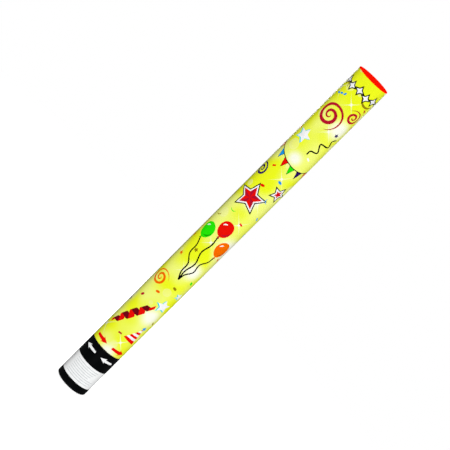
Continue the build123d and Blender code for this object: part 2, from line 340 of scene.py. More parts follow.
@dataclass(frozen=True)
class Moulded(Finish):
    """Moulded plastic with flow clouds, a fine grain and handling marks."""

    code: str
    roughness: float = 0.42
    shine: float = 0.4
    skin: float = 0.0  # weight of the smooth skin on it
    matt: float = 0.0  # how evenly its face returns light from any side
    wear: float = 1.0  # how strong its clouds and marks are
    gate: float = 0.0  # radius of the gate mark on the axis
    ring_pitch: float = 3.1  # between the turning marks round the gate

    def lay(self, graph: Graph) -> None:
        """Lays out the plastic.

        Args:
            graph: the material's graph.
        """
        place = graph.object_mm()
        grain = graph.noise(place, size=0.4, detail=3.0)
        clouds = graph.noise(place, size=12.0).rise(0.35, 0.7)
        upright = graph.stretch(place, (1.0, 1.0, 0.2))
        marks = graph.noise(upright, size=1.6, detail=5.0).rise(0.58, 0.78)
        colour = graph.blend(clouds * (0.5 * self.wear), rgb(self.code), rgb(self.code, shade=0.86))
        colour = graph.blend(marks * (0.05 * self.wear), colour, rgb("C9C9C4"))
        height = grain * 0.4
        if self.gate:
            radius = graph.around(place)[1]
            height = height + radius.rise(self.gate * 0.8, self.gate) * 2.0
            height = height + (radius / self.ring_pitch).wave() * 0.06
        sockets = {
            "Specular IOR Level": self.shine,
            "Coat Weight": self.skin,
            "Coat Roughness": self.roughness,
            "Diffuse Roughness": self.matt,
            "Normal": graph.bump(height, depth=0.02, strength=0.5),
        }
        graph.surface(colour, self.roughness + 0.1 * grain + 0.1 * marks - 0.05, sockets)


@dataclass(frozen=True)
class SpiralCard(Finish):
    """Kraft card wound in a spiral, with ply seams and fibres."""

    code: str
    ply: float = 0.475  # thickness of one ply

    def lay(self, graph: Graph) -> None:
        """Lays out the card.

        Args:
            graph: the material's graph.
        """
        place = graph.object_mm()
        turns, radius, height = graph.around(place)
        seam = graph.off_spiral(turns, height).rise(0.492, 0.5)
        fibres = graph.noise(graph.stretch(place, (1.0, 1.0, 0.3)), size=0.7, detail=5.0)
        flecks = graph.noise(place, size=1.4, detail=4.0).rise(0.62, 0.72)
        plies = (radius / self.ply).fract().rise(0.8, 1.0)
        colour = graph.blend(fibres, rgb(self.code, shade=0.72), rgb(self.code, shade=1.2))
        colour = graph.blend(flecks * 0.35, colour, rgb(self.code, shade=0.5))
        colour = graph.blend(seam * 0.6 + plies * 0.15, colour, rgb(self.code, shade=0.4))
        relief = graph.bump(fibres - seam * 0.8, depth=0.06)
        graph.surface(colour, 0.82 + 0.12 * fibres, {"Specular IOR Level": 0.2, "Normal": relief})


class Grain(Enum):
    """Which way a metal's fine marks run."""

    ALONG = (1.0, 1.0, 0.015)
    ROUND = (0.02, 0.02, 1.0)


@dataclass(frozen=True)
class Metal(Finish):
    """Worked metal with fine marks and stains."""

    code: str
    roughness: float
    grain: Grain

    def lay(self, graph: Graph) -> None:
        """Lays out the metal.

        Args:
            graph: the material's graph.
        """
        place = graph.object_mm()
        marks = graph.noise(graph.stretch(place, self.grain.value), size=0.12, detail=4.0)
        stains = graph.noise(place, size=7.0, detail=4.0).rise(0.45, 0.75)
        colour = graph.blend(marks, rgb(self.code, shade=0.82), rgb(self.code, shade=1.1))
        colour = graph.blend(stains * 0.3, colour, rgb(self.code, shade=0.62))
        relief = graph.bump(marks, depth=0.006, strength=0.6)
        roughness = self.roughness + 0.2 * marks + 0.15 * stains - 0.1
        graph.surface(colour, roughness, {"Metallic": 1.0, "Normal": relief})


@dataclass(frozen=True)
class Rubber(Finish):
    """Matt rubber with a bloom of dust."""

    code: str

    def lay(self, graph: Graph) -> None:
        """Lays out the rubber.

        Args:
            graph: the material's graph.
        """
        place = graph.object_mm()
        bloom = graph.noise(place, size=2.2, detail=5.0).rise(0.45, 0.8)
        grain = graph.noise(place, size=0.2, detail=3.0)
        colour = graph.blend(bloom * 0.25, rgb(self.code), rgb("8C8883"))
        relief = graph.bump(grain, depth=0.02, strength=0.5)
        graph.surface(colour, 0.62 + 0.25 * bloom, {"Specular IOR Level": 0.3, "Normal": relief})


@dataclass(frozen=True)
class ChipBoard(Finish):
    """Grey board of recycled fibres with coloured flecks."""

    code: str

    def lay(self, graph: Graph) -> None:
        """Lays out the board.

        Args:
            graph: the material's graph.
        """
        place = graph.object_mm()
        fibres = graph.noise(place, size=0.6, detail=6.0)
        flecks = 1 - graph.cells(place, pitch=2.3).rise(0.06, 0.14)
        colour = graph.blend(fibres, rgb(self.code, shade=0.7), rgb(self.code, shade=1.25))
        colour = graph.blend(flecks * 0.5, colour, rgb("5E4A38"))
        relief = graph.bump(fibres, depth=0.08)
        graph.surface(colour, 0.86 + 0.1 * fibres, {"Specular IOR Level": 0.2, "Normal": relief})


@dataclass(frozen=True)
class OpenFoam(Finish):
    """Open-cell foam: a web of cells, with painted shade darkening its pores."""

    code: str

    def lay(self, graph: Graph) -> None:
        """Lays out the foam.

        Args:
            graph: the material's graph.
        """
        place = graph.object_mm()
        pores = 1 - graph.cells(place, pitch=1.1).rise(0.25, 0.62)
        fine = 1 - graph.cells(place, pitch=0.45).rise(0.2, 0.6)
        # painted shade: the pores and the finer pits are darkened as if shade filled them, while the same
        # masks also shape the relief
        colour = graph.blend(pores * 0.6 + fine * 0.25, rgb(self.code), rgb(self.code, shade=0.35))
        relief = graph.bump(1 - pores - fine * 0.4, depth=0.35)
        graph.surface(colour, 0.9 - 0.1 * fine, {"Specular IOR Level": 0.15, "Normal": relief})


@dataclass(frozen=True)
class Foil(Finish):
    """Metal foil slips, each a little lighter or darker, with fine roll lines and creases."""

    code: str

    def lay(self, graph: Graph) -> None:
        """Lays out the foil.

        Args:
            graph: the material's graph.
        """
        place = graph.object_mm()
        slip = graph.node("NewGeometry", out="Random Per Island")
        creases = graph.noise(place, size=6.0, detail=3.0)
        lines = graph.noise(graph.stretch(place, (0.08, 1.0, 1.0)), size=0.3)
        colour = graph.blend(slip, rgb(self.code, shade=0.72), rgb(self.code, shade=1.08))
        colour = graph.blend(creases.rise(0.5, 0.8) * 0.3, colour, rgb("FFFFFF", shade=0.9))
        relief = graph.bump(creases + lines * 0.05, depth=0.25, strength=0.5)
        sockets = {"Metallic": 1.0, "Normal": relief}
        graph.surface(colour, 0.24 + 0.18 * lines + 0.12 * slip, sockets)


@dataclass(frozen=True)
class RawPaper(Finish):
    """The paper's white inside and cut edges."""

    def lay(self, graph: Graph) -> None:
        """Lays out the bare paper.

        Args:
            graph: the material's graph.
        """
        fibres = graph.noise(graph.object_mm(), size=0.5, detail=5.0)
        colour = graph.blend(fibres, rgb("D8D6CE"), rgb("F6F5F0"))
        relief = graph.bump(fibres, depth=0.02)
        graph.surface(colour, 0.8 + 0.1 * fibres, {"Specular IOR Level": 0.2, "Normal": relief})


@dataclass(frozen=True)
class Film:
    """The clear film over a print, which dims it more where it is seen aslant."""

    weight: float
    index: float  # index of refraction
    tint: str  # what is left of white light that crosses it square on
    roughness: float

    def sockets(self) -> dict:
        """Lists the film's inputs of the shader.

        Returns:
            Their values by name.
        """
        return {
            "Coat Weight": self.weight,
            "Coat IOR": self.index,
            "Coat Tint": rgb(self.tint),
            "Coat Roughness": self.roughness,
        }


@dataclass(frozen=True)
class Print(Finish):
    """Ink under a clear film on paper that is glued round a spiral-wound tube."""

    code: str
    film: Film = Film(weight=1.0, index=1.02, tint="E8E8E8", roughness=0.3)
    matt: float = 1.0  # how evenly its face returns light from any side
    girth: float = tau * 25.45  # once round the tube

    def ground(self, graph: Graph, place: Wire) -> Wire:
        """The printed colour at places on the sheet, a little uneven as printed solids are."""
        mottle = graph.noise(place, size=5.0, detail=4.0)
        return graph.blend(mottle.rise(0.3, 0.75) * 0.5, rgb(self.code), rgb(self.code, shade=0.88))

    def lay(self, graph: Graph) -> None:
        """Lays out the print and its film.

        Args:
            graph: the material's graph.
        """
        place = graph.sheet_mm()
        across, up, _ = graph.split(place)
        ridge = 1 - graph.off_spiral(across / self.girth, up).rise(0.0, 0.02)
        peel = graph.noise(place, size=1.1)
        rubs = graph.noise(graph.stretch(place, (1.0, 0.15, 1.0)), size=0.9, detail=5.0).rise(0.6, 0.75)
        sockets = {
            "Specular IOR Level": 0.0,
            "Diffuse Roughness": self.matt,
            "Normal": graph.bump(peel * 0.4 + ridge * 0.5, depth=0.03, strength=0.6),
            **self.film.sockets(),
        }
        graph.surface(self.ground(graph, place), 0.4 + 0.12 * peel + 0.12 * rubs, sockets)


@dataclass(frozen=True)
class SparklePrint(Print):
    """Yellow ground with soft glows, pale discs and four-armed sparkles."""

    pale: str = "F7FD8C"
    light: str = "FEFFF6"
    disc: str = "FAFBB8"
    tone_size: float = 48.0  # of the deep and pale stretches
    stray: float = 0.4  # how far the lights stray from a grid
    glow_pitch: float = 72.0
    glow_reach: tuple[float, float] = (15.0, 28.0)  # least and greatest
    disc_pitch: float = 27.0
    disc_radius: tuple[float, float] = (3.2, 8.2)
    disc_bare: float = 0.5  # share of the cells without a disc
    spark_pitch: float = 46.0
    spark_reach: tuple[float, float] = (18.0, 28.0)
    spark_bare: float = 0.25  # share of the cells without a sparkle
    spark_heart: float = 3.0  # radius of the bright spot where the arms cross
    arm_root: float = 1.5  # how much wider an arm starts than it ends
    arm_tip: float = 0.1
    calm_low: float = 546.0  # from here up the tones and glows fade out
    calm_high: float = 570.0  # and from here up the ground is plain

    def scatter(
        self, graph: Graph, place: Wire, pitch: float, sizes: tuple[float, float]
    ) -> tuple[Wire, Wire, Wire]:
        """Scatters lights over the sheet.

        Args:
            graph: the material's graph.
            place: places on the sheet, in millimetres.
            pitch: how far apart the lights are.
            sizes: the least and the greatest light.

        Returns:
            The cell of each light, its size, and a number from 0 to 1 that is its own.
        """
        cell = graph.cells(place, pitch, Space.SHEET, self.stray)
        share, chance, _ = graph.split(cell.other("Color"))
        least, greatest = sizes
        return cell, share * (greatest - least) + least, chance

    def glows(self, graph: Graph, place: Wire) -> Wire:
        """Soft white lights, each with its own reach."""
        cell, reach, _ = self.scatter(graph, place, self.glow_pitch, self.glow_reach)
        return (1 - (cell * self.glow_pitch / reach).rise(0.2, 1.0)) ** 1.2

    def discs(self, graph: Graph, place: Wire) -> Wire:
        """Pale out-of-focus discs with brighter rims, in about half of the cells.

        Args:
            graph: the material's graph.
            place: places on the sheet, in millimetres.

        Returns:
            How strong they are.
        """
        cell, radius, chance = self.scatter(graph, place, self.disc_pitch, self.disc_radius)
        past = cell * self.disc_pitch - radius
        filled = 1 - past.rise(-0.6, 0.4)
        return filled * (0.75 + 0.25 * past.rise(-2.0, 0.0)) * (chance > self.disc_bare)

    def sparkles(self, graph: Graph, place: Wire) -> Wire:
        """Thin crosses of light, turned by an eighth of a turn, in three quarters of the cells.

        Args:
            graph: the material's graph.
            place: places on the sheet, in millimetres.

        Returns:
            How strong they are.
        """
        cell, reach, chance = self.scatter(graph, place, self.spark_pitch, self.spark_reach)
        offset = {0: place, 1: cell.other("Position")}
        right, up, _ = graph.split(graph.node("VectorMath", {"operation": "SUBTRACT"}, offset))
        sparkle = 1 - (cell * self.spark_pitch).rise(0.0, self.spark_heart)
        for along, beside in ((right + up, right - up), (right - up, right + up)):
            share = (1 - abs(along) / (reach * DIAGONAL)).floor_at(0.0)
            arm = 1 - (abs(beside) / (share * self.arm_root + self.arm_tip)).rise(0.0, 1.0)
            sparkle = sparkle + share * arm
        return sparkle * (chance > self.spark_bare)

    def ground(self, graph: Graph, place: Wire) -> Wire:
        """Lays out the yellow ground with its lights.

        Args:
            graph: the material's graph.
            place: places on the sheet, in millimetres.

        Returns:
            The colour.
        """
        lively = 1 - graph.split(place)[1].rise(self.calm_low, self.calm_high)
        tone = graph.noise(place, self.tone_size, detail=1.0).rise(0.36, 0.64) * lively
        colour = graph.blend(tone, rgb(self.code), rgb(self.pale))
        colour = graph.blend(self.discs(graph, place) * 0.6, colour, rgb(self.disc))
        colour = graph.blend(self.glows(graph, place) * lively * 0.95, colour, rgb(self.light))
        return graph.blend(self.sparkles(graph, place) * 0.9, colour, rgb(self.light))


KRAFT_CARD = SpiralCard("kraft_card", "B68A58")
NYLON = Moulded("natural_nylon", "E6E3D8", roughness=0.5)
BLACK_RUBBER = Rubber("black_rubber", "141414")
GROUND_STEEL = Metal("ground_steel", "B4B7BB", 0.3, Grain.ROUND)


class Ink(Enum):
    """Printing inks of the two papers, by their sRGB codes."""

    RED = "F4140A"
    CRIMSON = "C81534"
    MAROON = "7E0C1C"
    WHITE = "FDFEFE"
    CYAN = "45E3EE"
    BLACK = "07080A"
    GREEN = "2CF20C"
    LEAF = "17B806"
    ORANGE = "FD7801"
    AMBER = "D45B00"
    BLUE = "1FA6F2"
    PURPLE = "2D0D6A"
    GOLD = "A79213"
    GREY = "BFC6C8"

    def finish(self) -> Print:
        """The ink as a finish."""
        return Print(f"ink_{self.name.lower()}", self.value)


class Way(Enum):
    """Which way an arrow points round the tube."""

    LEFT = -1
    RIGHT = 1


class Confetti(Enum):
    """Shapes of the small scattered confetti."""

    OVAL = "oval"
    STAR = "star"
    CRESCENT = "crescent"
    SLIP = "slip"


@dataclass(frozen=True)
class Patch:
    """One printed shape on the flat sheet, its outline run anticlockwise."""

    ink: Ink
    outline: tuple[Vector, ...]


class Pen:
    """Draws shapes on a flat sheet, in millimetres across and up. Later shapes cover earlier ones.

    Turns and bearings are in degrees.
    """

    NOTCH = 0.47  # radius of a star's notches, as a share of its points'

    def __init__(self) -> None:
        """Starts with a bare sheet."""
        self.patches: list[Patch] = []
        self.kept_clear: list[tuple[Vector, float]] = []

    def patch(self, ink: Ink, outline: Iterable[Vector]) -> None:
        """Adds one plain outline.

        Args:
            ink: its ink.
            outline: its corners in order, either way round.
        """
        points = tuple(outline)
        area = sum(here.cross(there) for here, there in zip(points, points[1:] + points[:1]))
        self.patches.append(Patch(ink, points if area > 0 else points[::-1]))

    def keep_clear(self, middle: Vector, reach: float) -> None:
        """Keeps scattered shapes away from a place."""
        self.kept_clear.append((middle, reach))

    def is_clear(self, middle: Vector, reach: float, girth: float) -> bool:
        """Tells whether a place is free.

        Args:
            middle: the place.
            reach: how far a shape there would reach.
            girth: the sheet's width, past which it meets itself.

        Returns:
            True where nothing is kept clear.
        """
        for kept, room in self.kept_clear:
            gap = middle - kept
            across = abs(gap.x) % girth
            if Vector((min(across, girth - across), gap.y)).length < room + reach:
                return False
        return True

    def star(self, ink: Ink, middle: Vector, size: float, turn: float = 0.0, points: int = 5) -> None:
        """A pointed star.

        Args:
            ink: its ink.
            middle: its middle.
            size: from its middle to a point.
            turn: how far it leans.
            points: how many points it has.
        """
        corners = 2 * points
        self.patch(ink, (
            middle + polar(size * (self.NOTCH if corner % 2 else 1.0), 90 + turn + corner * 360 / corners)
            for corner in range(corners)
        ))

    def rimmed_star(self, middle: Vector, size: float, turn: float) -> None:
        """A white star with a cyan rim that shows on one side, kept clear.

        Args:
            middle: its middle.
            size: from its middle to a point.
            turn: how far it leans.
        """
        rim_aside, rim_size = Vector((-1.2, -1.0)), size * 1.08
        self.keep_clear(middle, size)
        self.star(Ink.CYAN, middle + rim_aside, rim_size, turn)
        self.star(Ink.WHITE, middle, size, turn)

    def outlined_star(self, middle: Vector, size: float, turn: float) -> None:
        """A red star with a white and a black outline, whose points each have a light and a dark side.

        Args:
            middle: its middle.
            size: from its middle to a point of the red star.
            turn: how far it leans.
        """
        room, black, white = 2.0, 8.0, 4.4
        points = 5
        self.keep_clear(middle, size + room)
        self.star(Ink.BLACK, middle, size + black, turn)
        self.star(Ink.WHITE, middle, size + white, turn)
        for facet in range(2 * points):
            tip = 90 + turn + 360 / points * (facet // 2)
            notch = tip + 180 / points * (1 if facet % 2 else -1)
            corners = (middle, middle + polar(size, tip), middle + polar(size * self.NOTCH, notch))
            self.patch(Ink.CRIMSON if facet % 2 else Ink.RED, corners)

    def oval(self, ink: Ink, middle: Vector, wide: float, tall: float, turn: float = 0.0) -> None:
        """An oval.

        Args:
            ink: its ink.
            middle: its middle.
            wide: its half width.
            tall: its half height.
            turn: how far it leans.
        """
        sides = 28
        lean = Quaternion((0, 0, 1), radians(turn)).to_matrix().to_2x2()
        self.patch(ink, (
            middle + lean @ Vector((wide * cos(tau * side / sides), tall * sin(tau * side / sides)))
            for side in range(sides)
        ))

    def slip(self, ink: Ink, middle: Vector, length: float, width: float, turn: float = 0.0) -> None:
        """A rectangle.

        Args:
            ink: its ink.
            middle: its middle.
            length: its length.
            width: its width.
            turn: the bearing of its length.
        """
        along, beside = polar(length / 2, turn), polar(width / 2, turn + 90)
        corners = ((1, 1), (-1, 1), (-1, -1), (1, -1))
        self.patch(ink, (middle + along * end + beside * side for end, side in corners))

    def stroke(self, ink: Ink, path: list[Vector], width: Callable[[float], float]) -> None:
        """A brush stroke.

        Args:
            ink: its ink.
            path: the points that it follows.
            width: its width at a share of the way.
        """
        last = len(path) - 1
        banks = []
        for step, point in enumerate(path):
            ahead = (path[min(step + 1, last)] - path[max(step - 1, 0)]).normalized()
            beside = Vector((-ahead.y, ahead.x)) * width(step / last) / 2
            banks.append((point + beside, point - beside))
        for (left, right), (next_left, next_right) in zip(banks, banks[1:]):
            self.patch(ink, (left, right, next_right, next_left))

    def line(self, start: Vector, end: Vector, sway: float, waves: float, width: float) -> None:
        """A thin black line that sways between two points.

        Args:
            start: one end.
            end: the other end.
            sway: how far it swings to each side.
            waves: how many waves it has.
            width: its width.
        """
        steps = 44
        beside = Vector((start.y - end.y, end.x - start.x)).normalized()
        path = [
            start.lerp(end, step / steps)
            + beside * sway * sin(tau * waves * step / steps) * sin(pi * step / steps)
            for step in range(steps + 1)
        ]
        self.stroke(Ink.BLACK, path, lambda share: width)

    def streamer(self, start: Vector, bearing: float, length: float, swing: float, waves: int) -> None:
        """A red paper streamer in waves, which shows its dark back on every other one.

        Args:
            start: its lower end.
            bearing: the way it runs.
            length: how far it runs.
            swing: how far it swings to each side.
            waves: how many waves it has.
        """
        steps_in_wave, covered, slack = 22, 0.62, 0.55
        steps = steps_in_wave * waves
        along, beside = polar(1.0, bearing), polar(1.0, bearing + 90)
        band = along * (covered * length / waves)

        def edge(share: float) -> Vector:
            """The streamer's lower edge at a share of its way."""
            fullness = slack + (1 - slack) * sin(pi * share)
            return start + along * length * share + beside * swing * fullness * sin(tau * waves * share)

        for step in range(steps):
            low, high = edge(step / steps), edge((step + 1) / steps)
            front = cos(tau * waves * (step + 0.5) / steps) > 0
            self.patch(Ink.RED if front else Ink.MAROON, (low, high, high + band, low + band))

    def curl(
        self, ink: Ink, middle: Vector, size: float, turns: float, start: float, width: float
    ) -> None:
        """A ribbon that curls in to a point.

        Args:
            ink: its ink.
            middle: where it ends.
            size: how far out it starts.
            turns: how many turns it makes, negative for clockwise.
            start: the bearing of its start.
            width: its width where it is widest.
        """
        steps_in_turn, wound_in, tightness = 40, 0.88, 1.3
        thin, skew = 0.25, 0.8
        steps = int(steps_in_turn * abs(turns))
        path = [
            middle + polar(size * (1 - wound_in * share) ** tightness, start + 360 * turns * share)
            for share in (step / steps for step in range(steps + 1))
        ]
        self.stroke(ink, path, lambda share: thin + width * sin(pi * share**skew))

    def crescent(self, ink: Ink, middle: Vector, radius: float, start: float, sweep: float) -> None:
        """A slim arc that tapers to both ends, by its first bearing and its sweep."""
        path = arc(middle, radius, start, sweep, steps=20)
        self.stroke(ink, path, tapered(thin=0.3, swell=radius * 0.19))

    def confetti(self, kind: Confetti, ink: Ink, middle: Vector, turn: float) -> None:
        """One small piece of confetti.

        Args:
            kind: its shape.
            ink: its ink.
            middle: its middle.
            turn: how far it leans.
        """
        if kind is Confetti.OVAL:
            self.oval(ink, middle, wide=3.2, tall=1.9, turn=turn)
        elif kind is Confetti.STAR:
            self.star(ink, middle, size=3.8, turn=turn)
        elif kind is Confetti.CRESCENT:
            self.crescent(ink, middle, radius=5.0, start=turn, sweep=120)
        else:
            self.slip(ink, middle, length=5.4, width=2.4, turn=turn)

    def hat(self, foot: Vector, size: float, turn: float) -> None:
        """A striped party hat with a pompom.

        Args:
            foot: the middle of its brim.
            size: its height.
            turn: how far it leans.
        """
        bands, slant, tip = 7, 0.07, 0.94
        half_width, pompom, tufts = size * 0.38, size * 0.15, 9
        upright, beside = polar(size, 90 + turn), polar(half_width, turn)

        def side(level: float, way: float) -> Vector:
            """A place on one side of the hat, at a share of its height."""
            return foot + upright * level + beside * way * (1 - level)

        for band in range(bands):
            low, high = tip * band / bands, tip * (band + 1) / bands
            lift = slant if band else 0.0
            ledge = slant if band < bands - 1 else 0.0
            corners = (side(low, -1), side(low + lift, 1), side(high + ledge, 1), side(high, -1))
            self.patch(Ink.WHITE if band % 2 else Ink.RED, corners)
        self.star(Ink.BLUE, foot + upright, pompom, turn, tufts)

    def balloon(self, inks: tuple[Ink, Ink], middle: Vector, size: float, knot: Vector) -> None:
        """A balloon with a highlight, a shaded side, a neck and a thin string.

        Args:
            inks: its colour and the colour of its shaded side.
            middle: the middle of the balloon.
            size: its half height.
            knot: where its string ends.
        """
        ink, shade = inks
        neck = middle - Vector((0, size * 1.06))
        self.line(neck, knot, sway=2.6, waves=2.0, width=1.9)
        self.patch(shade, (neck + Vector(corner) for corner in ((0, 2.0), (-2.2, -2.0), (2.2, -2.0))))
        sides = 36
        outline = []
        for side in range(sides):
            bearing = tau * side / sides
            fullness = 0.8 + 0.06 * sin(bearing)
            outline.append(middle + Vector((size * fullness * cos(bearing), size * sin(bearing))))
        self.patch(ink, outline)
        width = tapered(thin=0.2, swell=size * 0.14)
        self.stroke(shade, arc(middle, size * 0.68, start=270, sweep=96, steps=12), width)
        self.stroke(Ink.WHITE, arc(middle, size * 0.58, start=105, sweep=54, steps=9), width)

    def bunting(self, left: Vector, right: Vector, sag: float, flags: tuple[Ink, ...]) -> None:
        """A hanging string of pennants.

        Args:
            left: one end of the string.
            right: its other end.
            sag: how far its middle hangs.
            flags: the pennants' inks in order.
        """
        steps, string = 60, 1.2
        gap, drop, outline = 0.14, Vector((0, 13.0)), 0.16

        def point(share: float) -> Vector:
            """The string at a share of its way."""
            return left.lerp(right, share) - Vector((0, 4 * sag * share * (1 - share)))

        for number, ink in enumerate(flags):
            start = (number + gap) / len(flags)
            end = (number + 1 - gap) / len(flags)
            rim = [point(start), point(end), point((start + end) / 2) - drop]
            heart = sum(rim, Vector((0, 0))) / 3
            self.patch(Ink.BLACK, rim)
            self.patch(ink, (corner.lerp(heart, outline) for corner in rim))
        self.stroke(Ink.BLACK, [point(step / steps) for step in range(steps + 1)], lambda share: string)

    def arrow(self, ink: Ink, middle: Vector, length: float, width: float, way: Way) -> None:
        """An arrow across the sheet with a swept head and a tapering tail.

        Args:
            ink: its ink.
            middle: its middle.
            length: its whole length.
            width: the width of its head.
            way: the way it points.
        """
        half, neck, barb = length / 2, length * 0.12, length * 0.06
        shaft, bevel = width * 0.25, 1.2
        tail = ((bevel - half, shaft * 0.8), (-half, shaft * 0.5))
        upper = ((half, 0.0), (barb, width / 2), (neck, shaft), *tail)
        lower = [(across, -up) for across, up in reversed(upper[1:])]
        self.patch(ink, (middle + Vector((way.value * across, up)) for across, up in (*upper, *lower)))


@dataclass
class RolledPaper:
    """A printed paper rolled once round a card tube, its end lapped over its start at the back."""

    INSIDE: ClassVar[int] = 1  # the cutter's option to keep only triangles inside an outline
    MERGED: ClassVar[float] = 1e-3  # points this close become one
    name: str
    node: str
    body: str
    slot: str
    ground: Print
    lap: float = 8.0  # width of the glued overlap
    climb: float = 2.0  # width over which the end climbs onto the start
    columns: int = 96
    rows: int = 24
    pen: Pen = field(default_factory=Pen)

    def __post_init__(self) -> None:
        """Takes the paper's sizes from its CAD node."""
        low, high = (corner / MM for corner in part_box(self.node))
        self.low, self.high = low.z, high.z
        self.radius, self.lap_radius = high.x, high.y
        self.inner = 2 * self.radius - self.lap_radius
        self.girth = tau * self.radius
        self.start = (self.lap - self.girth) / 2
        self.end = self.start + self.girth
        self.climb_start = self.end - self.lap

    def reach(self, across: float) -> float:
        """The paper's outer radius at a place across the sheet."""
        share = (across - self.climb_start) / self.climb
        return self.radius + (self.lap_radius - self.radius) * min(1.0, max(0.0, share))

    def rolled(self, across: float, up: float, radius: float) -> Vector:
        """A place on the sheet rolled to a radius, in metres."""
        angle = across / self.radius
        return Vector((radius * sin(angle), -radius * cos(angle), up)) * MM

    def facing(self, across: float, slope: float = 0.0) -> Vector:
        """The outward direction at a place, leaned back by the paper's climb."""
        angle = across / self.radius
        return Vector((sin(angle) - slope * cos(angle), -cos(angle) - slope * sin(angle), 0)).normalized()

    def patches(self) -> list[Patch]:
        """Draws the patches that cross a side edge again at the other one.

        Returns:
            All patches, each copy after its own.
        """
        found = []
        for patch in self.pen.patches:
            found.append(patch)
            places = [point.x for point in patch.outline]
            for way, past in ((1, min(places) < self.start), (-1, max(places) > self.end)):
                if past:
                    aside = Vector((way * self.girth, 0))
                    found.append(Patch(patch.ink, tuple(point + aside for point in patch.outline)))
        return found

    def flat_mesh(self, patches: list[Patch]) -> tuple[list[Vector], list[tuple[list[int], int]]]:
        """Cuts the sheet into triangles along its columns, rows and patches.

        Args:
            patches: the printed shapes, later ones on top.

        Returns:
            The points, and each triangle with its patch's number, or -1 on the bare ground.
        """
        left, right, low, high = self.start, self.end, self.low, self.high
        points = [Vector(corner) for corner in ((left, low), (right, low), (right, high), (left, high))]
        faces = [list(range(4))]
        edges = []
        columns = [left + self.girth * step / self.columns for step in range(1, self.columns)]
        rows = [low + (high - low) * row / self.rows for row in range(1, self.rows)]
        cuts = [
            ((across, low), (across, high))
            for across in (*columns, self.climb_start, self.climb_start + self.climb)
        ]
        for ends in (*cuts, *(((left, up), (right, up)) for up in rows)):
            edges.append((len(points), len(points) + 1))
            points += [Vector(end) for end in ends]
        for patch in patches:
            faces.append(list(range(len(points), len(points) + len(patch.outline))))
            points += patch.outline
        made, _, cut, _, _, sources = delaunay_2d_cdt(points, edges, faces, self.INSIDE, self.MERGED)
        triangles = [(list(face), max(source) - 1) for face, source in zip(cut, sources) if 0 in source]
        return made, triangles

    def build(self) -> bpy.types.Object:
        """Rolls the paper into one closed mesh, with a material for the ground, the edge and each ink.

        Returns:
            The piece, riding on its body in place of its CAD node.
        """
        patches = self.patches()
        flat, triangles = self.flat_mesh(patches)
        used = sorted({face_point for face, _ in triangles for face_point in face})
        number = {old: new for new, old in enumerate(used)}
        printed = {patches[source].ink for _, source in triangles if source >= 0}
        inks = sorted(printed, key=lambda ink: ink.name)
        materials = [self.ground, RawPaper("paper_edge"), *(ink.finish() for ink in inks)]
        skin = PaperSkin(self, [flat[old] for old in used])
        for face, source in triangles:
            slot = skin.FIRST_INK + inks.index(patches[source].ink) if source >= 0 else skin.GROUND_SLOT
            skin.add_print([number[old] for old in face], slot)
        skin.close()
        return place_piece(skin.mesh(materials), self.body, self.node)


@dataclass(frozen=True)
class ArrowRing:
    """A ring of arrows round a paper, kept clear."""

    ink: Ink
    up: float
    across: float  # middle of the arrow left of the front
    width: float
    way: Way
    length: float = 22.5
    count: int = 5

    def draw(self, paper: RolledPaper) -> None:
        """Draws the ring.

        Args:
            paper: the paper that it is drawn on.
        """
        for number in range(self.count):
            middle = Vector((self.across + paper.girth * number / self.count, self.up))
            paper.pen.arrow(self.ink, middle, self.length, self.width, self.way)
            paper.pen.keep_clear(middle, self.length / 2)


